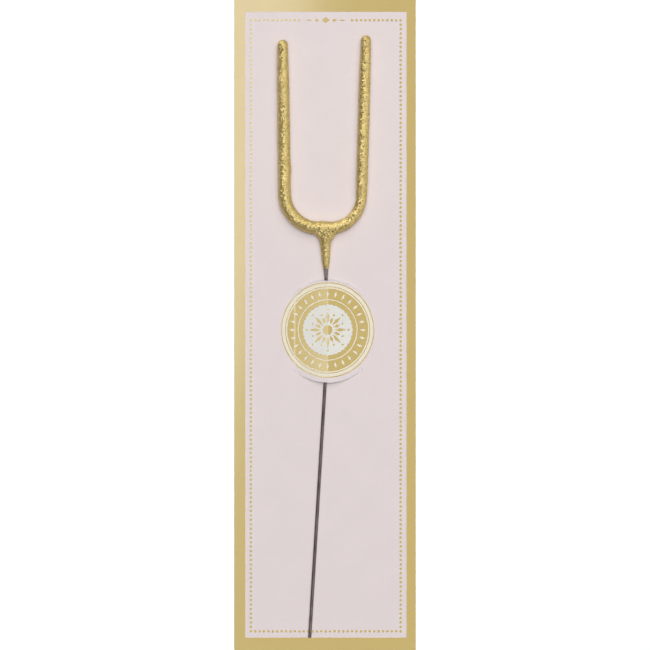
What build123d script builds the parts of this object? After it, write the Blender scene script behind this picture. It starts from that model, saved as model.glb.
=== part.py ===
from build123d import *
import os
from math import asin, atan2, cos, degrees, hypot, pi, radians, sin

# A sparkler bent into a U, carried flat on a gift card. Its stem runs under a round tab that is
# cut out of the card and tented over the wire.
# Millimetres. The card lies in XY, printed face up, with its top edge towards +Y. The origin is
# the centre of the card's back.

# Card
card_width = 55.75
card_length = 200.0
card_thickness = 0.5
border_left = 3.4
border_right = 2.85
border_top = 3.85
border_bottom = 4.0
foil_thickness = 0.05

# Tab, cut from the card by two arc slits and folded up along two straight lines
tab_x = 0.95
tab_y = -2.0
tab_radius = 15.8
tab_span = 21.0
slit_width = 0.15
fold_radius = 3.0
tab_clearance = 0.12
lift_per_sway = 0.25

# Seal, stamped in foil over the tab, from its rim line inwards, and a little taller than wide
seal_rise = 0.5
seal_shift = -0.12
seal_stretch = 1.025
rim_margin = 1.5
rim_line_width = 0.3
line_gap = 0.95
inner_line_width = 0.25
band_gap = 0.4
band_width = 3.2
lozenge_count = 28
lozenge_margin = 0.6
lozenge_width = 0.8
ring_gap = 0.3
scallop_ring_width = 1.6
scallop_count = 36
scallop_depth = 0.35
burst_margin = 0.6
ray_count = 16
ray_step = 1.5
ray_start = 1.9
ray_width = 1.0
hub_radius = 1.5
spark_radius = 0.32
spark_gap = 0.35

# Dotted foil line inside the border, with a small ornament in a gap at the top
dot_radius = 0.4
dot_pitch = 1.37
dot_inset_left = 1.7
dot_inset_right = 1.8
dot_inset_top = 2.55
dot_inset_bottom = 1.95
ornament_gap = 14.2
ornament_length = 2.6
ornament_width = 1.9
ornament_side_length = 1.5
ornament_side_width = 1.1
ornament_side_offset = 2.7
ornament_tail_length = 2.4
ornament_tail_width = 0.5
ornament_tail_offset = 5.1

# Sparkler head, a wire U in a coat of spark mixture under a gold skin
head_wire_diameter = 1.2
left_tip_x = -13.0
left_tip_y = 87.5
left_corner_x = -12.27
right_tip_x = 12.59
right_tip_y = 88.8
right_corner_x = 10.92
bowl_y = 29.7
bowl_flat_left = 1.7
bowl_flat_right = 1.2
bowl_coat_diameter = 3.9
shoulder_coat_diameter = 3.5
shoulder_length = 12.0
tip_coat_diameter = 3.0
coat_past_wire = 1.2
gold_skin = 0.15

# Stem, from the weld under the bowl down to its cut end
stem_wire_diameter = 1.0
junction_x = 0.05
stem_bend_x = 0.75
stem_bend_y = -6.4
stem_end_x = -4.72
stem_bend_radius = 250.0
stem_drop_radius = 30.0
weld_gap = 0.1
weld_radius = 1.25
web_half_width = 4.4
web_start = 0.6
web_half_height = 1.7
web_length = 4.2
collar_end_wall = 0.32
collar_to_tab = 3.5
run_out_length = 2.9
run_out_wall = 0.04
lie_gap = 0.15

# Heights over the card's back
rest_height = card_thickness + lie_gap
bowl_radius = bowl_coat_diameter / 2
shoulder_radius = shoulder_coat_diameter / 2
tip_radius = tip_coat_diameter / 2
stem_radius = stem_wire_diameter / 2
head_wire_radius = head_wire_diameter / 2
head_height = rest_height + bowl_radius
stem_height = rest_height + stem_radius


# Head outline: two arms that lean apart, each with a round bend into the short flat of the bowl
def arm_layout(tip_x, tip_y, corner_x, flat_end_x):
    """Foot, tip, direction and flat end of one arm's centre line."""
    corner = Vector(corner_x, bowl_y, head_height)
    tip = Vector(tip_x, tip_y, head_height)
    direction = (tip - corner).normalized()
    room = abs(corner_x - flat_end_x)
    return corner + direction * room, tip, direction, Vector(flat_end_x, bowl_y, head_height)


left_foot, left_tip, left_direction, left_flat = arm_layout(
    left_tip_x, left_tip_y, left_corner_x, junction_x - bowl_flat_left
)
right_foot, right_tip, right_direction, right_flat = arm_layout(
    right_tip_x, right_tip_y, right_corner_x, junction_x + bowl_flat_right
)

# Stem route: it slopes down with the collar, so that bowl, collar and wire all lie on the card,
# then runs level under the tab, bends there a little, and goes straight to the foil border
stem_end_y = border_bottom - card_length / 2
tab_top = tab_y + tab_radius
tab_bottom = tab_y - tab_radius
collar_length = bowl_y - (tab_top + collar_to_tab)
collar_end_radius = stem_radius + collar_end_wall
stem_slope = (bowl_radius - collar_end_radius) / collar_length
level_y = bowl_y - (head_height - stem_height) / stem_slope
plan_slope = (stem_bend_x - junction_x) / (stem_bend_y - bowl_y)
level_x = junction_x + plan_slope * (level_y - bowl_y)
junction = Vector(junction_x, bowl_y, head_height)
stem_level = Vector(level_x, level_y, stem_height)
stem_bend = Vector(stem_bend_x, stem_bend_y, stem_height)
stem_end = Vector(stem_end_x, stem_end_y, stem_height)
stem_direction = (stem_level - junction).normalized()
stem_top = junction + stem_direction * (head_wire_radius + weld_gap)


def across_stem(distance):
    """Plane square to the stem's upper run, at a distance from the weld."""
    origin = junction + stem_direction * distance
    return Plane(origin=origin, x_dir=(1, 0, 0), z_dir=stem_direction)


# Tented line of the tab: flat, fold arc, straight slope, ridge arc over the wire, and the mirror
# image. The ridge is high enough for the wire to lie askew under it as the sparkler is drawn out.
draw_slope = (stem_bend_x - stem_end_x) / (stem_bend_y - stem_end_y)
sway = max(abs(stem_bend_x + draw_slope * (y - stem_bend_y) - tab_x) for y in (tab_top, tab_bottom))
stem_rise_at_tab = max(0, (tab_top - level_y) * stem_slope)
ridge_radius = stem_radius + tab_clearance
ridge_height = stem_height + stem_rise_at_tab + sway * lift_per_sway
fold_x = tab_span / 2
fold_to_ridge = hypot(fold_x, ridge_height - fold_radius)
centre_line_angle = atan2(ridge_height - fold_radius, fold_x)
tent_angle = centre_line_angle + asin((fold_radius + ridge_radius) / fold_to_ridge)
tab_plane = Plane(origin=(tab_x, tab_y, 0), x_dir=(1, 0, 0), z_dir=(0, -1, 0))
stamp_height = 2 * (ridge_height + ridge_radius + card_thickness)
seal_plane = Plane.XY.shift_origin((tab_x + seal_shift, tab_y + seal_rise, 0))


def tent_half_line(height):
    """Left half of the tented line, at a height over the underside of the sheet."""
    fold = fold_radius - height
    ridge = ridge_radius + height
    fold_end = (-fold_x + fold * sin(tent_angle), fold_radius - fold * cos(tent_angle))
    ridge_start = (-ridge * sin(tent_angle), ridge_height + ridge * cos(tent_angle))
    Line((-tab_radius, height), (-fold_x, height))
    CenterArc((-fold_x, fold_radius), fold, -90, degrees(tent_angle))
    Line(fold_end, ridge_start)
    CenterArc((0, ridge_height), ridge, 90, degrees(tent_angle))


def tent_layer(low, high):
    """Layer of the tented sheet between two heights over its underside."""
    apex = ridge_height + ridge_radius
    with BuildPart() as layer:
        with BuildSketch(tab_plane):
            with BuildLine():
                tent_half_line(low)
                tent_half_line(high)
                Line((0, apex + low), (0, apex + high))
                Line((-tab_radius, low), (-tab_radius, high))
            make_face()
            mirror(about=Plane.YZ)
        extrude(amount=tab_radius, both=True)
    return layer.part


def tab_outline(radius):
    """Plan outline of the tab or of its opening: a disc between the two fold lines."""
    with BuildSketch() as outline:
        with Locations((tab_x, tab_y)):
            Circle(radius)
            Rectangle(tab_span, 2 * tab_radius, mode=Mode.INTERSECT)
    return outline.sketch


# Card with the opening that the tab leaves
opening_outline = tab_outline(tab_radius)
with BuildPart() as backing_card:
    with BuildSketch():
        Rectangle(card_width, card_length)
        add(opening_outline, mode=Mode.SUBTRACT)
    extrude(amount=card_thickness)
backing_card.part.label = "backing_card"

# Tab, its edge a slit's width inside the opening
board_layer = tent_layer(0, card_thickness)
tab_face = tab_outline(tab_radius - slit_width)
with BuildPart() as holding_tab:
    extrude(tab_face, amount=stamp_height)
    add(board_layer, mode=Mode.INTERSECT)
holding_tab.part.label = "holding_tab"

# Foil border
panel_width = card_width - border_left - border_right
panel_length = card_length - border_top - border_bottom
panel_centre = ((border_left - border_right) / 2, (border_bottom - border_top) / 2)
with BuildPart() as border_foil:
    with BuildSketch(Plane.XY.offset(card_thickness)):
        Rectangle(card_width, card_length)
        with Locations(panel_centre):
            Rectangle(panel_width, panel_length, mode=Mode.SUBTRACT)
    extrude(amount=foil_thickness)
border_foil.part.label = "border_foil"


def lozenge(length, width, mode=Mode.ADD):
    """Lozenge in the current sketch, long along X."""
    corners = ((-length / 2, 0), (0, -width / 2), (length / 2, 0), (0, width / 2))
    Polygon(*corners, mode=mode)


def seal_oval(half_width, mode=Mode.ADD):
    """Oval of the seal in the current sketch."""
    Ellipse(half_width, half_width * seal_stretch, mode=mode)


def round_oval(half_width, count):
    """Places spread round an oval of the seal, each turned outwards."""
    places = []
    for i in range(count):
        turn = 360 * i / count
        x = half_width * cos(radians(turn))
        y = half_width * seal_stretch * sin(radians(turn))
        places.append(Location((x, y, 0), (0, 0, turn)))
    return Locations(*places)


# Seal: each shape is drawn flat and stamped through the foil layer that lies on the tented sheet
foil_layer = tent_layer(card_thickness, card_thickness + foil_thickness)

rim_line_radius = tab_radius - rim_margin
inner_line_radius = rim_line_radius - rim_line_width - line_gap
with BuildPart() as seal_lines:
    with BuildSketch(seal_plane):
        seal_oval(rim_line_radius)
        seal_oval(rim_line_radius - rim_line_width, Mode.SUBTRACT)
        seal_oval(inner_line_radius)
        seal_oval(inner_line_radius - inner_line_width, Mode.SUBTRACT)
    extrude(amount=stamp_height)
    add(foil_layer, mode=Mode.INTERSECT)
seal_lines.part.label = "seal_lines"

band_radius = inner_line_radius - inner_line_width - band_gap
band_inner_radius = band_radius - band_width
with BuildPart() as seal_band:
    with BuildSketch(seal_plane):
        seal_oval(band_radius)
        seal_oval(band_inner_radius, Mode.SUBTRACT)
        with round_oval((band_radius + band_inner_radius) / 2, lozenge_count):
            lozenge(band_width - 2 * lozenge_margin, lozenge_width, Mode.SUBTRACT)
    extrude(amount=stamp_height)
    add(foil_layer, mode=Mode.INTERSECT)
seal_band.part.label = "seal_band"

scallop_radius = band_inner_radius - ring_gap
scallop_inner_radius = scallop_radius - scallop_ring_width
scallop_half_pitch = scallop_inner_radius * seal_stretch * sin(pi / scallop_count)
with BuildPart() as seal_scallop_ring:
    with BuildSketch(seal_plane):
        seal_oval(scallop_radius)
        seal_oval(scallop_inner_radius, Mode.SUBTRACT)
        with round_oval(scallop_inner_radius, scallop_count):
            Ellipse(scallop_depth, scallop_half_pitch, mode=Mode.SUBTRACT)
    extrude(amount=stamp_height)
    add(foil_layer, mode=Mode.INTERSECT)
seal_scallop_ring.part.label = "seal_scallop_ring"

long_ray_reach = scallop_inner_radius - burst_margin - 2 * spark_radius - spark_gap
with BuildPart() as seal_burst:
    with BuildSketch(seal_plane):
        Circle(hub_radius)
        for first, reach in ((0, long_ray_reach), (1, long_ray_reach - ray_step)):
            turn = 90 + first * 360 / ray_count
            with PolarLocations((ray_start + reach) / 2, ray_count // 2, start_angle=turn):
                lozenge(reach - ray_start, ray_width)
            with PolarLocations(reach + spark_gap + spark_radius, ray_count // 2, start_angle=turn):
                Circle(spark_radius)
    extrude(amount=stamp_height)
    add(foil_layer, mode=Mode.INTERSECT)
seal_burst.part.label = "seal_burst"

# Dotted line, evenly divided along each side of its frame, and the ornament in its gap
line_left = border_left + dot_inset_left - card_width / 2
line_right = card_width / 2 - border_right - dot_inset_right
line_bottom = border_bottom + dot_inset_bottom - card_length / 2
line_top = card_length / 2 - border_top - dot_inset_top
line_middle = (line_left + line_right) / 2
columns = round((line_right - line_left) / dot_pitch)
rows = round((line_top - line_bottom) / dot_pitch)
column_xs = [line_left + (line_right - line_left) * i / columns for i in range(columns + 1)]
row_ys = [line_bottom + (line_top - line_bottom) * i / rows for i in range(1, rows)]
dot_places = [(x, line_bottom) for x in column_xs]
dot_places += [(x, line_top) for x in column_xs if abs(x - line_middle) > ornament_gap / 2]
dot_places += [(x, y) for x in (line_left, line_right) for y in row_ys]
with BuildPart() as dotted_line:
    with BuildSketch(Plane.XY.offset(card_thickness)):
        with Locations(*dot_places):
            Circle(dot_radius)
    extrude(amount=foil_thickness)
dotted_line.part.label = "dotted_line"

with BuildPart() as top_ornament:
    with BuildSketch(Plane((line_middle, line_top, card_thickness))):
        lozenge(ornament_length, ornament_width)
        for offset, length, width in (
            (ornament_side_offset, ornament_side_length, ornament_side_width),
            (ornament_tail_offset, ornament_tail_length, ornament_tail_width),
        ):
            with Locations((-offset, 0), (offset, 0)):
                lozenge(length, width)
    extrude(amount=foil_thickness)
top_ornament.part.label = "top_ornament"

# Wires
with BuildPart() as shaped_wire:
    with BuildLine() as head_line:
        Line(left_tip - left_direction * coat_past_wire, left_foot)
        TangentArc(left_foot, left_flat, tangent=-left_direction)
        Line(left_flat, right_flat)
        TangentArc(right_flat, right_foot, tangent=(1, 0, 0))
        Line(right_foot, right_tip - right_direction * coat_past_wire)
    with BuildSketch(Plane(origin=head_line.line @ 0, z_dir=head_line.line % 0)):
        Circle(head_wire_radius)
    sweep(path=head_line.line)
shaped_wire.part.label = "shaped_wire"

with BuildPart() as stem_wire:
    with BuildLine() as stem_line:
        FilletPolyline(
            stem_top, stem_level, stem_bend, stem_end, radius=[stem_drop_radius, stem_bend_radius]
        )
    with BuildSketch(Plane(origin=stem_line.line @ 0, z_dir=stem_line.line % 0)):
        Circle(stem_radius)
    sweep(path=stem_line.line)
stem_wire.part.label = "stem_wire"

with BuildPart() as weld_bead:
    with Locations(junction):
        Sphere(weld_radius, rotation=(0, 0, 90))
    add(shaped_wire.part, mode=Mode.SUBTRACT)
    add(stem_wire.part, mode=Mode.SUBTRACT)
weld_bead.part.label = "weld_bead"


# Coat of the head
def coat_solid(skin, run_out):
    """Coat of arms, bowl, web and collar, its surface moved in by skin, with or without the run-out."""
    with BuildPart() as coat:
        for foot, tip, direction in (
            (left_foot, left_tip, left_direction),
            (right_foot, right_tip, right_direction),
        ):
            arm_plane = Plane(origin=foot, x_dir=direction, z_dir=(0, 0, 1))
            reach = (tip - foot).length - skin
            end_radius = tip_radius - skin
            with BuildSketch(arm_plane):
                with BuildLine():
                    Polyline(
                        (reach, 0),
                        (0, 0),
                        (0, bowl_radius - skin),
                        (reach - shoulder_length, shoulder_radius - skin),
                        (reach - end_radius, end_radius),
                    )
                    CenterArc((reach - end_radius, 0), end_radius, 0, 90)
                make_face()
            revolve(axis=Axis(arm_plane.origin, direction))
        with BuildLine() as bowl_line:
            TangentArc(left_foot, left_flat, tangent=-left_direction)
            Line(left_flat, right_flat)
            TangentArc(right_flat, right_foot, tangent=(1, 0, 0))
        with BuildSketch(Plane(origin=bowl_line.line @ 0, z_dir=bowl_line.line % 0)):
            Circle(bowl_radius - skin)
        sweep(path=bowl_line.line)
        with BuildSketch(across_stem(web_start)):
            Ellipse(web_half_width - skin, web_half_height - skin)
        with BuildSketch(across_stem(web_length)):
            Circle(bowl_radius - stem_slope * web_length - skin)
        loft(ruled=True)
        with BuildSketch(across_stem(web_length)):
            Circle(bowl_radius - stem_slope * web_length - skin)
        with BuildSketch(across_stem(collar_length)):
            Circle(collar_end_radius - skin)
        loft(ruled=True)
        if run_out:
            with BuildSketch(across_stem(collar_length)):
                Circle(collar_end_radius - skin)
            with BuildSketch(across_stem(collar_length + run_out_length)):
                Circle(stem_radius + run_out_wall)
            loft(ruled=True)
    return coat.part


mixture_solid = coat_solid(gold_skin, run_out=True)
gold_solid = coat_solid(0, run_out=False)

with BuildPart() as spark_mixture:
    add(mixture_solid)
    for core in (shaped_wire, stem_wire, weld_bead):
        add(core.part, mode=Mode.SUBTRACT)
spark_mixture.part.label = "spark_mixture"

with BuildPart() as gold_coating:
    add(gold_solid)
    add(mixture_solid, mode=Mode.SUBTRACT)
gold_coating.part.label = "gold_coating"

# Files, one for each piece
os.makedirs("parts", exist_ok=True)
for piece in (
    shaped_wire,
    stem_wire,
    weld_bead,
    spark_mixture,
    gold_coating,
    backing_card,
    holding_tab,
    border_foil,
    seal_lines,
    seal_band,
    seal_scallop_ring,
    seal_burst,
    dotted_line,
    top_ornament,
):
    export_step(piece.part, f"parts/{piece.part.label}.step")
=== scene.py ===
from math import exp, pi, radians, sqrt

import bpy
import numpy as np
from mathutils import Matrix, Quaternion, Vector, noise


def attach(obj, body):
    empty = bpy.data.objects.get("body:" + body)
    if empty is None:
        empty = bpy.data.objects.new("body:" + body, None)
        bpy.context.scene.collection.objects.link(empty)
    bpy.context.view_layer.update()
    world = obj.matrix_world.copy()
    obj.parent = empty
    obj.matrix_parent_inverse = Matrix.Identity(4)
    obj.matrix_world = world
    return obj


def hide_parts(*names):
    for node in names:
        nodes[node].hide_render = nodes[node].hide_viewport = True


# Looks of a gold sparkler, bent into a U and carried on a pink gift card.
# Lengths are millimetres, in the part's own frame, and its meshes are scaled to metres at the end.
# The lamps and the floor are in metres.

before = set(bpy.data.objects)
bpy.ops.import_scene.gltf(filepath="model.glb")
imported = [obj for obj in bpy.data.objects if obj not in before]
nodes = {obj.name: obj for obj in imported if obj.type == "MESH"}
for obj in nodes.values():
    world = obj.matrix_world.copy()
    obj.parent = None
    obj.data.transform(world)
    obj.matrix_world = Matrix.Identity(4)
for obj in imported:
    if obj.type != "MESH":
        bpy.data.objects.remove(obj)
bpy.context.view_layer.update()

MM = 0.001

# Card and seal, as in the part. The cream print ends under the scallop ring.
CARD_FACE = 0.5
SEAL_CENTRE = (0.83, -1.5)
SEAL_STRETCH = 1.025
SEAL_RADIUS = 14.15
CREAM_INNER = 8.2

# Sparkler head: its line is the part's, and its coat is shaped more finely
HEAD_HEIGHT = 2.6
LEFT_TIP = (-13.0, 87.5, HEAD_HEIGHT)
LEFT_CORNER = (-12.27, 29.7, HEAD_HEIGHT)
RIGHT_CORNER = (10.92, 29.7, HEAD_HEIGHT)
RIGHT_TIP = (12.59, 88.8, HEAD_HEIGHT)
JUNCTION = (0.05, 29.7, HEAD_HEIGHT)
BOWL_FLAT_LEFT = 1.7
BOWL_FLAT_RIGHT = 1.2
TIP_RADIUS = 1.5
# Share of the coat's radius that is left at the very tips
TIP_END_SHARE = 0.02
# Height of the coat over its width
HEAD_FLATNESS = 0.96
# Radius of the coat along the U: distance from the left tip and radius
COAT_RADII = (
    (0.0, TIP_RADIUS),
    (12.0, 1.79),
    (40.0, 1.89),
    (55.0, 1.93),
    (66.0, 1.93),
    (74.0, 1.62),
    (80.0, 1.55),
    (86.0, 1.7),
    (95.0, 1.74),
    (119.0, 1.67),
    (131.0, TIP_RADIUS),
)

# Stem and collar: their lines are the part's, and the web is shaped more finely
STEM_LEVEL = (0.3585, 13.79, 1.15)
STEM_BEND = (0.75, -6.4, 1.15)
STEM_END = (-4.72, -96.0, 1.15)
STEM_RADIUS = 0.5
# Distance from the weld at which the wire starts, inside the coat
STEM_START = 1.0
STEM_DROP_REACH = 1.3
STEM_BEND_REACH = 8.0
COLLAR_LENGTH = 12.4
COLLAR_END_RADIUS = 0.82
RUN_OUT_LENGTH = 2.9
# Web and collar down the stem: distance from the weld, offset to the right, half width, half height
COLLAR_STATIONS = (
    (0.5, 0.05, 4.2, 1.87),
    (1.4, 0.05, 3.65, 1.82),
    (2.3, 0.1, 2.82, 1.75),
    (3.25, 0.0, 2.15, 1.66),
    (4.0, 0.0, 1.74, 1.56),
    (4.9, 0.0, 1.58, 1.5),
    (7.3, 0.0, 1.37, 1.33),
    (9.7, 0.0, 1.18, 1.15),
    (11.0, 0.0, 1.03, 1.0),
    (COLLAR_LENGTH, 0.0, COLLAR_END_RADIUS, COLLAR_END_RADIUS),
)
# Form of the web's section down the stem: distance from the weld and power, 2 for an ellipse
WEB_POWERS = ((0.5, 3.2), (2.3, 2.8), (4.0, 2.0))

# Meshes
TUBE_SIDES = 48
WIRE_SIDES = 32
PATH_STEP = 0.25
BEND_STEPS = 48
SMOOTHING_SHARE = 0.5


# Paths and tubes
def rounded_path(corners, reaches):
    """Points along a line of runs whose inner corners are circular bends that start a reach away."""
    corners = [Vector(corner) for corner in corners]
    points = [corners[0]]
    for before, corner, after, reach in zip(corners, corners[1:], corners[2:], reaches):
        inward = (corner - before).normalized()
        outward = (after - corner).normalized()
        start = corner - inward * reach
        end = corner + outward * reach
        pull = sqrt((1 + inward.dot(outward)) / 2)
        for i in range(BEND_STEPS + 1):
            t = i / BEND_STEPS
            a, b, c = (1 - t) ** 2, 2 * t * (1 - t) * pull, t**2
            points.append((start * a + corner * b + end * c) / (a + b + c))
    points.append(corners[-1])
    return points


def even_path(points, step):
    """The same line as points about a step apart, with the distance of each from the start."""
    line = np.array([tuple(point) for point in points])
    lengths = np.concatenate(([0.0], np.cumsum(np.linalg.norm(np.diff(line, axis=0), axis=1))))
    distances = np.linspace(0, lengths[-1], int(lengths[-1] / step) + 1)
    places = np.stack([np.interp(distances, lengths, line[:, axis]) for axis in range(3)], axis=1)
    return places, distances


def signed_power(values, power):
    """Power of the values' sizes, with their signs kept."""
    return np.sign(values) * np.abs(values) ** power


def tube(places, half_widths, half_heights, sides, powers=2.0):
    """Vertices and faces of a closed tube along a path. Its section is an ellipse, boxier over power 2."""
    tangents = np.gradient(places, axis=0)
    tangents /= np.linalg.norm(tangents, axis=1)[:, None]
    across = np.cross(tangents, (0, 0, 1))
    across /= np.linalg.norm(across, axis=1)[:, None]
    upward = np.cross(across, tangents)
    angles = np.linspace(0, 2 * pi, sides, endpoint=False)
    roundness = 2 / np.broadcast_to(powers, len(places))[:, None]
    sideways = signed_power(np.cos(angles), roundness) * half_widths[:, None]
    upright = signed_power(np.sin(angles), roundness) * half_heights[:, None]
    rings = (
        places[:, None, :]
        + across[:, None, :] * sideways[:, :, None]
        + upward[:, None, :] * upright[:, :, None]
    )
    vertices = [tuple(point) for point in rings.reshape(-1, 3)]
    faces = []
    for ring in range(len(places) - 1):
        for side in range(sides):
            here = ring * sides + side
            beside = ring * sides + (side + 1) % sides
            faces.append((here, beside, beside + sides, here + sides))
    last = (len(places) - 1) * sides
    faces.append(tuple(range(sides - 1, -1, -1)))
    faces.append(tuple(range(last, last + sides)))
    return vertices, faces


def mesh_object(name, shells):
    """New object whose mesh holds the given closed shells."""
    vertices, faces = [], []
    for shell_vertices, shell_faces in shells:
        first = len(vertices)
        vertices += shell_vertices
        faces += [tuple(first + index for index in face) for face in shell_faces]
    mesh = bpy.data.meshes.new(name)
    mesh.from_pydata(vertices, [], faces)
    mesh.validate()
    piece = bpy.data.objects.new(name, mesh)
    bpy.context.scene.collection.objects.link(piece)
    return piece


def apply_modifiers(piece):
    """Puts the result of the modifiers into the piece's own mesh."""
    depsgraph = bpy.context.evaluated_depsgraph_get()
    mesh = bpy.data.meshes.new_from_object(piece.evaluated_get(depsgraph))
    piece.modifiers.clear()
    piece.data = mesh


def merge_shells(piece, voxel, smoothing_steps):
    """Melts overlapping shells into one smooth skin."""
    remesh = piece.modifiers.new("melt", "REMESH")
    remesh.mode = "VOXEL"
    remesh.voxel_size = voxel
    smooth = piece.modifiers.new("smooth", "SMOOTH")
    smooth.factor = SMOOTHING_SHARE
    smooth.iterations = smoothing_steps
    apply_modifiers(piece)


def finish_piece(piece, body, replaced, material):
    """Scales a piece to metres, shades it smooth, gives it its material, ties it to its body, and hides
    the part's node that it replaces.
    """
    piece.data.transform(Matrix.Scale(MM, 4))
    piece.data.polygons.foreach_set("use_smooth", [True] * len(piece.data.polygons))
    piece.data.materials.clear()
    piece.data.materials.append(material)
    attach(piece, body)
    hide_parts(replaced)


def read_vertices(mesh):
    """Places and normals of a mesh's vertices."""
    count = len(mesh.vertices)
    places = np.empty(count * 3, np.float32)
    normals = np.empty(count * 3, np.float32)
    mesh.vertices.foreach_get("co", places)
    mesh.vertex_normals.foreach_get("vector", normals)
    return places.reshape(-1, 3).astype(float), normals.reshape(-1, 3).astype(float)


def raise_surface(piece, height_at, lowest=-np.inf, highest=np.inf):
    """Moves a piece's vertices along their normals by a height, and keeps them between two levels."""
    places, normals = read_vertices(piece.data)
    heights = np.array([height_at(place) for place in places])
    places += normals * heights[:, None]
    places[:, 2] = np.clip(places[:, 2], lowest, highest)
    piece.data.vertices.foreach_set("co", places.astype(np.float32).ravel())
    piece.data.update()


# Shader helpers
NOISE_RANGE = (0.3, 0.7)
SOFT_DETAIL = 3.0
FINE_DETAIL = 4.0


class Shader:
    """Nodes of a material or a world: its surface, and short ways to add nodes that feed it."""

    def __init__(self, holder, surface):
        holder.use_nodes = True
        self.holder = holder
        self.tree = holder.node_tree
        self.surface = self.tree.nodes[surface]
        self.coordinates = self.add("TexCoord").outputs

    def feed(self, value, socket):
        """Links a source to a socket, or sets a constant. A colour gets its alpha."""
        if isinstance(value, bpy.types.NodeSocket):
            self.tree.links.new(value, socket)
        elif socket.type == "RGBA":
            socket.default_value = (*value, 1.0)
        else:
            socket.default_value = value

    def set(self, values):
        """Feeds sockets of the surface, each with a source or a constant."""
        for socket, value in values.items():
            self.feed(value, self.surface.inputs[socket])

    def add(self, kind, inputs=None, **settings):
        """New node with its settings, and with its sockets fed by name or number."""
        node = self.tree.nodes.new("ShaderNode" + kind)
        for name, setting in settings.items():
            setattr(node, name, setting)
        for socket, value in (inputs or {}).items():
            self.feed(value, node.inputs[socket])
        return node

    def place(self, stretch=(1, 1, 1)):
        """Object coordinates in millimetres, each axis divided by its stretch."""
        scale = [1 / MM / share for share in stretch]
        inputs = {"Vector": self.coordinates["Object"], "Scale": scale}
        return self.add("Mapping", inputs).outputs["Vector"]

    def noise(self, size, detail, stretch=(1, 1, 1)):
        """Noise from 0 to 1 whose features are about a size apart."""
        inputs = {"Vector": self.place(stretch), "Scale": 1 / size, "Detail": detail}
        return self.add("TexNoise", inputs).outputs["Fac"]

    def cells(self, size):
        """Colours of Voronoi cells about a size across, each drawn at random."""
        return self.add("TexVoronoi", {"Vector": self.place(), "Scale": 1 / size}).outputs["Color"]

    def span(self, value, low, high, to_low=0.0, to_high=1.0):
        """Value moved from one range to another and held inside it."""
        inputs = {
            "Value": value,
            "From Min": low,
            "From Max": high,
            "To Min": to_low,
            "To Max": to_high,
        }
        return self.add("MapRange", inputs).outputs["Result"]

    def blend(self, share, first, second, kind="MIX"):
        """Mix of two colours, each a source or a constant."""
        inputs = {"Factor": share, "A": first, "B": second}
        return self.add("Mix", inputs, data_type="RGBA", blend_type=kind).outputs["Result"]

    def maths(self, operation, *values):
        """Result of an operation on numbers, each a source or a constant."""
        return self.add("Math", dict(enumerate(values)), operation=operation).outputs["Value"]

    def vector(self, operation, *values, result="Vector"):
        """Result of an operation on vectors, each a source or a constant."""
        return self.add("VectorMath", dict(enumerate(values)), operation=operation).outputs[result]

    def bump(self, height, depth, under=None):
        """Normal of bumps with a depth in millimetres, on top of another normal where one is given."""
        inputs = {"Height": height, "Distance": depth * MM, "Strength": 1.0}
        if under is not None:
            inputs["Normal"] = under
        return self.add("Bump", inputs).outputs["Normal"]


def material_shader(name):
    """Shader of a new material."""
    return Shader(bpy.data.materials.new(name), "Principled BSDF")


# Paper of card and tab: pink print on the upper side, bare board on cut edges and back
PINK = (0.802, 0.71, 0.68)
SEAL_WHITE = (0.80, 0.785, 0.71)
SEAL_CREAM = (0.86, 0.79, 0.63)
BARE_BOARD = (0.80, 0.785, 0.75)
PRINT_SOFTNESS = 0.05
# Upward share of the normal over which bare board turns into print
PRINT_SLOPE = (0.4, 0.6)
MOTTLE_SIZE = 9.0
FIBRE_SIZE = 0.35
FIBRE_RANGE = (0.35, 0.65)
FIBRE_DEPTH = 0.012
PAPER_SHADE = (0.985, 1.01)
PAPER_ROUGHNESS = (0.62, 0.74)


def board_material():
    shader = material_shader("board")
    flat = shader.vector("MULTIPLY", shader.place((1, SEAL_STRETCH, 1)), (1, 1, 0))
    centre = (SEAL_CENTRE[0], SEAL_CENTRE[1] / SEAL_STRETCH, 0)
    distance = shader.vector("DISTANCE", flat, centre, result="Value")
    in_seal = shader.span(distance, SEAL_RADIUS - PRINT_SOFTNESS, SEAL_RADIUS + PRINT_SOFTNESS, 1.0, 0.0)
    in_ring = shader.span(distance, CREAM_INNER - PRINT_SOFTNESS, CREAM_INNER + PRINT_SOFTNESS)
    seal = shader.blend(in_ring, SEAL_WHITE, SEAL_CREAM)
    printed = shader.blend(in_seal, PINK, seal)
    normal = shader.add("SeparateXYZ", {"Vector": shader.coordinates["Normal"]}).outputs
    sheet = shader.blend(shader.span(normal["Z"], *PRINT_SLOPE), BARE_BOARD, printed)
    fibre = shader.noise(FIBRE_SIZE, FINE_DETAIL)
    speck = shader.span(fibre, *FIBRE_RANGE, *PAPER_SHADE)
    mottle = shader.span(shader.noise(MOTTLE_SIZE, SOFT_DETAIL), *NOISE_RANGE, *PAPER_SHADE)
    shader.set(
        {
            "Base Color": shader.blend(1.0, sheet, shader.maths("MULTIPLY", mottle, speck), "MULTIPLY"),
            "Roughness": shader.span(fibre, *NOISE_RANGE, *PAPER_ROUGHNESS),
            "Specular IOR Level": 0.35,
            "Normal": shader.bump(fibre, FIBRE_DEPTH),
        }
    )
    return shader.holder


# Gold hot foil of border, dots and seal
FOIL_GOLD = (0.545, 0.42, 0.152)
FOIL_DULL = (0.523, 0.398, 0.142)
FOIL_CLOUD_SIZE = 6.0
FOIL_GRAIN_SIZE = 0.5
FOIL_GRAIN_DEPTH = 0.0008
FOIL_ROUGHNESS = (0.05, 0.07)


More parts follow.
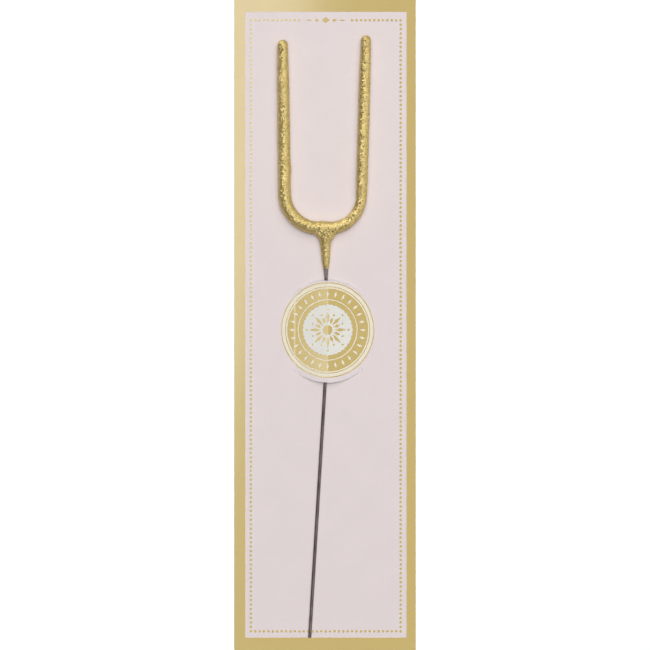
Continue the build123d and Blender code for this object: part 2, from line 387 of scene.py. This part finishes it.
def foil_material():
    shader = material_shader("gold_foil")
    cloud = shader.noise(FOIL_CLOUD_SIZE, SOFT_DETAIL)
    grain = shader.noise(FOIL_GRAIN_SIZE, FINE_DETAIL)
    shader.set(
        {
            "Base Color": shader.blend(cloud, FOIL_DULL, FOIL_GOLD),
            "Metallic": 1.0,
            "Roughness": shader.span(grain, *NOISE_RANGE, *FOIL_ROUGHNESS),
            "Coat Weight": 0.5,
            "Coat Roughness": 0.12,
            "Normal": shader.bump(grain, FOIL_GRAIN_DEPTH),
        }
    )
    return shader.holder


# Gold lacquer of the sparkler: coarse metal grains, each with its own lean and shade
LACQUER_LIGHT = (0.785, 0.62, 0.268)
LACQUER_DEEP = (0.49, 0.367, 0.118)
LACQUER_CLOUD_SIZE = 2.5
LACQUER_CLOUD_SHADE = (-0.15, 0.15)
LACQUER_ROUGHNESS = (0.34, 0.50)
GRAIN_SIZE = 0.31
GRAIN_LEAN = 0.6
DUST_SIZE = 0.2
DUST_DEPTH = 0.03


def lacquer_material():
    shader = material_shader("gold_lacquer")
    grains = shader.cells(GRAIN_SIZE)
    draws = shader.add("SeparateColor", {"Color": grains}).outputs
    cloud = shader.noise(LACQUER_CLOUD_SIZE, SOFT_DETAIL)
    shade = shader.maths("ADD", draws["Red"], shader.span(cloud, *NOISE_RANGE, *LACQUER_CLOUD_SHADE))
    lean = shader.vector("MULTIPLY_ADD", grains, [GRAIN_LEAN] * 3, [-GRAIN_LEAN / 2] * 3)
    leaning = shader.vector("ADD", shader.add("NewGeometry").outputs["Normal"], lean)
    dust = shader.noise(DUST_SIZE, SOFT_DETAIL)
    shader.set(
        {
            "Base Color": shader.blend(shade, LACQUER_DEEP, LACQUER_LIGHT),
            "Metallic": 0.97,
            "Roughness": shader.span(draws["Green"], 0.0, 1.0, *LACQUER_ROUGHNESS),
            "Normal": shader.bump(dust, DUST_DEPTH, shader.vector("NORMALIZE", leaning)),
        }
    )
    return shader.holder


# Grey spark mixture, seen where it runs out below the gold
MIXTURE_DARK = (0.139, 0.112, 0.106)
MIXTURE_LIGHT = (0.29, 0.247, 0.23)
MIXTURE_GRIT_SIZE = 0.3
MIXTURE_GRIT_DEPTH = 0.06


def mixture_material():
    shader = material_shader("spark_mixture")
    grit = shader.noise(MIXTURE_GRIT_SIZE, FINE_DETAIL)
    shader.set(
        {
            "Base Color": shader.blend(shader.span(grit, *NOISE_RANGE), MIXTURE_DARK, MIXTURE_LIGHT),
            "Roughness": 0.7,
            "Normal": shader.bump(grit, MIXTURE_GRIT_DEPTH),
        }
    )
    return shader.holder


# Dark drawn steel wire, streaked along its length
WIRE_DARK = (0.086, 0.061, 0.057)
WIRE_LIGHT = (0.206, 0.157, 0.148)
STREAK_SIZE = 0.35
STREAK_STRETCH = (1, 18, 1)
STREAK_DEPTH = 0.02
SPOT_SIZE = 1.6
SPOT_STRETCH = (1, 3, 1)
WIRE_SHADE_RANGE = (0.75, 1.25)
WIRE_ROUGHNESS = (0.38, 0.55)


def wire_material():
    shader = material_shader("steel_wire")
    streak = shader.noise(STREAK_SIZE, FINE_DETAIL, STREAK_STRETCH)
    spots = shader.noise(SPOT_SIZE, FINE_DETAIL, SPOT_STRETCH)
    shade = shader.span(shader.maths("ADD", streak, spots), *WIRE_SHADE_RANGE)
    shader.set(
        {
            "Base Color": shader.blend(shade, WIRE_DARK, WIRE_LIGHT),
            "Metallic": 0.75,
            "Roughness": shader.span(streak, *NOISE_RANGE, *WIRE_ROUGHNESS),
            "Normal": shader.bump(streak, STREAK_DEPTH),
        }
    )
    return shader.holder


board = board_material()
gold_foil = foil_material()
gold_lacquer = lacquer_material()
spark_mixture = mixture_material()
steel_wire = wire_material()

# CAD nodes that stay
for name, material in (
    ("backing_card", board),
    ("holding_tab", board),
    ("border_foil", gold_foil),
    ("seal_lines", gold_foil),
    ("seal_band", gold_foil),
    ("seal_scallop_ring", gold_foil),
    ("seal_burst", gold_foil),
    ("dotted_line", gold_foil),
    ("top_ornament", gold_foil),
    ("shaped_wire", steel_wire),
    ("weld_bead", steel_wire),
):
    nodes[name].data.materials.clear()
    nodes[name].data.materials.append(material)

# Lines that the sparkler's pieces follow
head_line = rounded_path(
    (LEFT_TIP, LEFT_CORNER, RIGHT_CORNER, RIGHT_TIP),
    (
        JUNCTION[0] - BOWL_FLAT_LEFT - LEFT_CORNER[0],
        RIGHT_CORNER[0] - JUNCTION[0] - BOWL_FLAT_RIGHT,
    ),
)
junction = Vector(JUNCTION)
stem_direction = (Vector(STEM_LEVEL) - junction).normalized()


def head_shell(inset):
    """Tube of the U with its uneven radius and round tips, moved in by an inset."""
    places, distances = even_path(head_line, PATH_STEP)
    from_tip = np.minimum(distances, distances[-1] - distances)
    radii = np.interp(distances, *zip(*COAT_RADII))
    in_cap = np.clip(1 - (from_tip - inset) / (TIP_RADIUS - inset), 0, 1)
    radii = (radii - inset) * np.sqrt(np.maximum(1 - in_cap**2, TIP_END_SHARE**2))
    return tube(places, radii, radii * HEAD_FLATNESS, TUBE_SIDES)


def stem_shell(stations, inset):
    """Tube down the stem's upper run through stations, moved in by an inset."""
    distances, offsets, half_widths, half_heights = zip(*stations)
    steps = np.arange(distances[0], distances[-1] + PATH_STEP / 2, PATH_STEP)
    places = np.array([tuple(junction + stem_direction * step) for step in steps])
    places[:, 0] += np.interp(steps, distances, offsets)
    half_widths = np.interp(steps, distances, half_widths) - inset
    half_heights = np.interp(steps, distances, half_heights) - inset
    powers = np.interp(steps, *zip(*WEB_POWERS))
    return tube(places, half_widths, half_heights, TUBE_SIDES, powers)


# Gold coat, kept between the foil's level on the card and a level just under the part's top
COAT_VOXEL = 0.11
COAT_SMOOTHING_STEPS = 20
LOWEST_COAT = 0.55
HIGHEST_COAT = 4.54
MELT_LOSS = 0.05
LUMP_SIZE = 4.0
LUMP_HEIGHT = 0.06
PEBBLE_SIZE = 0.3
PEBBLE_HEIGHT = 0.03
# Distance from a pebble's middle at which it neither raises nor lowers the coat, in pebble sizes
PEBBLE_MIDDLE = 0.45
GRIT_SIZE = 0.2
GRIT_HEIGHT = 0.035
# Blobs of coat: place, reach and height
BLOBS = (
    ((-10.8, 48.0, 2.9), 1.8, 0.22),
    ((-0.7, 31.9, 2.8), 2.0, 0.25),
)
# Step from the bowl's coat down to the web: ends of its edge, depth, how far it reaches, and how softly
# it ends
STEP = (Vector((-2.6, 29.2)), Vector((-0.45, 27.95)))
STEP_DEPTH = 0.25
STEP_REACH = 5.0
STEP_FADE = 0.9


def step_share(place):
    """How much of the step's depth a place on the coat's upper side has."""
    start, end = STEP
    run = (end - start).normalized()
    offset = Vector(place[:2]) - start
    below = -run.cross(offset)
    along = run.dot(offset)
    past_end = max(-along, along - (end - start).length, 0)
    if below < 0 or place[2] < HEAD_HEIGHT:
        return 0.0
    return exp(-below / STEP_REACH - (past_end / STEP_FADE) ** 2)


def coat_height(place):
    """Height of the coat's uneven surface over its smooth form."""
    spot = Vector(place)
    height = LUMP_HEIGHT * noise.noise(spot / LUMP_SIZE)
    height += PEBBLE_HEIGHT * (PEBBLE_MIDDLE - noise.voronoi(spot / PEBBLE_SIZE)[0][0])
    height += GRIT_HEIGHT * noise.noise(spot / GRIT_SIZE)
    for centre, reach, rise in BLOBS:
        height += rise * exp(-((spot - Vector(centre)).length / reach) ** 2)
    return height - STEP_DEPTH * step_share(place)


def make_gold_coating():
    shells = [head_shell(-MELT_LOSS), stem_shell(COLLAR_STATIONS, -MELT_LOSS)]
    piece = mesh_object("gold_coat", shells)
    merge_shells(piece, COAT_VOXEL, COAT_SMOOTHING_STEPS)
    raise_surface(piece, coat_height, LOWEST_COAT, HIGHEST_COAT)
    finish_piece(piece, "sparkler", "gold_coating", gold_lacquer)


# Spark mixture under the gold, with its thin run-out down the wire
MIXTURE_INSET = 0.32
MIXTURE_VOXEL = 0.16
MIXTURE_SMOOTHING_STEPS = 4
RUN_OUT_STEP = 0.08
RUN_OUT_WALL = 0.04
RUN_OUT_GRIT = 0.05


def mixture_height(place):
    """Height of the mixture's grit over its smooth form."""
    return RUN_OUT_GRIT * noise.noise(Vector(place) / GRIT_SIZE)


def make_spark_mixture():
    run_out_radius = COLLAR_END_RADIUS - RUN_OUT_STEP + MIXTURE_INSET
    end_radius = STEM_RADIUS + RUN_OUT_WALL + MIXTURE_INSET
    stations = COLLAR_STATIONS[:-2] + (
        (COLLAR_LENGTH, 0.0, run_out_radius, run_out_radius),
        (COLLAR_LENGTH + RUN_OUT_LENGTH, 0.0, end_radius, end_radius),
    )
    piece = mesh_object("mixture", [head_shell(MIXTURE_INSET), stem_shell(stations, MIXTURE_INSET)])
    merge_shells(piece, MIXTURE_VOXEL, MIXTURE_SMOOTHING_STEPS)
    raise_surface(piece, mixture_height)
    finish_piece(piece, "sparkler", "spark_mixture", spark_mixture)


# Stem wire
WIRE_SWELL = 0.012
WIRE_SWELL_LENGTH = 5.0
WIRE_END_ROUND = 0.18


def make_stem_wire():
    line = rounded_path(
        (junction + stem_direction * STEM_START, STEM_LEVEL, STEM_BEND, STEM_END),
        (STEM_DROP_REACH, STEM_BEND_REACH),
    )
    places, distances = even_path(line, PATH_STEP)
    swell = [noise.noise(Vector((0, distance / WIRE_SWELL_LENGTH, 0))) for distance in distances]
    radii = STEM_RADIUS + WIRE_SWELL * np.array(swell)
    radii[-1] -= WIRE_END_ROUND
    piece = mesh_object("stem", [tube(places, radii, radii, WIRE_SIDES)])
    finish_piece(piece, "sparkler", "stem_wire", steel_wire)


make_gold_coating()
make_spark_mixture()
make_stem_wire()

# Camera straight above the card, whose length just overfills the square frame
CAMERA_HEIGHT = 1800.0
FRAME_LENGTH = 199.6
SENSOR_WIDTH = 36.0


def make_camera():
    data = bpy.data.cameras.new("camera")
    data.sensor_width = SENSOR_WIDTH
    data.lens = SENSOR_WIDTH * CAMERA_HEIGHT / FRAME_LENGTH
    camera = bpy.data.objects.new("camera", data)
    camera.location = (0, 0, (CARD_FACE + CAMERA_HEIGHT) * MM)
    bpy.context.scene.collection.objects.link(camera)
    bpy.context.scene.camera = camera


# Light: a key from the top of the picture, a fill beside the camera that is kept out of mirrors, a broad
# box overhead with a bluish one to its left for the foil to mirror, and two panels that only gloss
# shows, one low at the upper left and one on the right.
# Each has its place and the length of its sides, in metres, and its brightness, which is what a mirror
# would show of it, with white at 1.
KEY = ((0.3, 1.05, 1.65), 1.6, 1.85)
LOW = ((-0.75, 1.45, 0.75), 1.3, 1.75)
FILL = ((0.05, 0.2, 1.7), 0.5, 13.5)
OVERHEAD = ((0.0, 0.0, 2.4), 2.4, 1.0)
LEFT = ((-0.451, 0.172, 2.2), 0.85, 1.265)
RIGHT = ((1.2, -0.3, 1.0), 1.1, 1.55)
LEFT_TURN = radians(-11)
LEFT_TINT = (0.28, 0.363, 1.0)
STRAIGHT_UP = (0.0, 0.0, 1.0)


def soft_box(name, lamp, against=None, turn=0.0, tint=(1, 1, 1)):
    """Square lamp that shines at the card, or against a direction, and is turned about its beam."""
    place, size, brightness = lamp
    data = bpy.data.lights.new(name, "AREA")
    data.color = tint
    data.shape = "SQUARE"
    data.size = size
    data.energy = brightness * pi * size**2
    box = bpy.data.objects.new(name, data)
    box.location = place
    box.rotation_mode = "QUATERNION"
    aim = Vector(against or place).to_track_quat("Z", "Y")
    box.rotation_quaternion = aim @ Quaternion(STRAIGHT_UP, turn)
    box.visible_camera = False
    bpy.context.scene.collection.objects.link(box)
    return box


def make_lamps():
    soft_box("key", KEY)
    low = soft_box("low", LOW)
    low.visible_diffuse = False
    fill = soft_box("fill", FILL)
    fill.visible_glossy = False
    soft_box("overhead", OVERHEAD, STRAIGHT_UP)
    soft_box("left", LEFT, STRAIGHT_UP, LEFT_TURN, LEFT_TINT)
    right = soft_box("right", RIGHT)
    right.visible_diffuse = False


# Sky: dim as a light, white to the camera, and to gloss a pale band above the horizon.
# The band fades upwards and dims to the left, by the upward and rightward parts of a direction.
SKY_LIGHT = 0.06
SKY_BAND = 0.5
SKY_BAND_TOP = (0.35, 0.75)
SKY_LEFT = (-0.85, -0.2)
SKY_LEFT_SHARE = 0.5


def make_world():
    sky = Shader(bpy.data.worlds.new("studio"), "Background")
    direction = sky.add("SeparateXYZ", {"Vector": sky.coordinates["Generated"]}).outputs
    height = sky.span(direction["Z"], *SKY_BAND_TOP, SKY_BAND, 0.0)
    side = sky.span(direction["X"], *SKY_LEFT, SKY_LEFT_SHARE, 1.0)
    path = sky.add("LightPath").outputs
    gloss = sky.maths("MAXIMUM", path["Is Glossy Ray"], path["Is Transmission Ray"])
    band = sky.maths("MULTIPLY", gloss, sky.maths("MULTIPLY", height, side))
    seen = sky.maths("MAXIMUM", band, path["Is Camera Ray"])
    sky.set({"Color": (1, 1, 1), "Strength": sky.maths("MAXIMUM", seen, SKY_LIGHT)})
    bpy.context.scene.world = sky.holder


# Floor, just under the card. Its glow to the camera and to gloss grows with the distance from the card.
FLOOR_REACH = 6.0
FLOOR_DROP = 0.0002
FLOOR_WHITE = 0.86
FLOOR_GLOW = (0.3, 1.0)
FLOOR_GLOW_DISTANCES = (0.3, 1.0)


def make_floor():
    sides = ((-1, -1), (1, -1), (1, 1), (-1, 1))
    corners = [(x * FLOOR_REACH, y * FLOOR_REACH, -FLOOR_DROP) for x, y in sides]
    floor = mesh_object("floor", [(corners, [(0, 1, 2, 3)])])
    shader = material_shader("floor")
    path = shader.add("LightPath").outputs
    seen = shader.maths("MAXIMUM", path["Is Camera Ray"], path["Is Glossy Ray"])
    seen = shader.maths("MAXIMUM", seen, path["Is Transmission Ray"])
    distance = shader.vector("LENGTH", shader.coordinates["Object"], result="Value")
    glow = shader.span(distance, *FLOOR_GLOW_DISTANCES, *FLOOR_GLOW)
    shader.set(
        {
            "Base Color": [FLOOR_WHITE] * 3,
            "Roughness": 0.9,
            "Specular IOR Level": 0.0,
            "Emission Color": (1, 1, 1),
            "Emission Strength": shader.maths("MULTIPLY", glow, seen),
        }
    )
    floor.data.materials.append(shader.holder)


make_camera()
make_world()
make_floor()
make_lamps()

bpy.context.scene.view_settings.view_transform = "Standard"
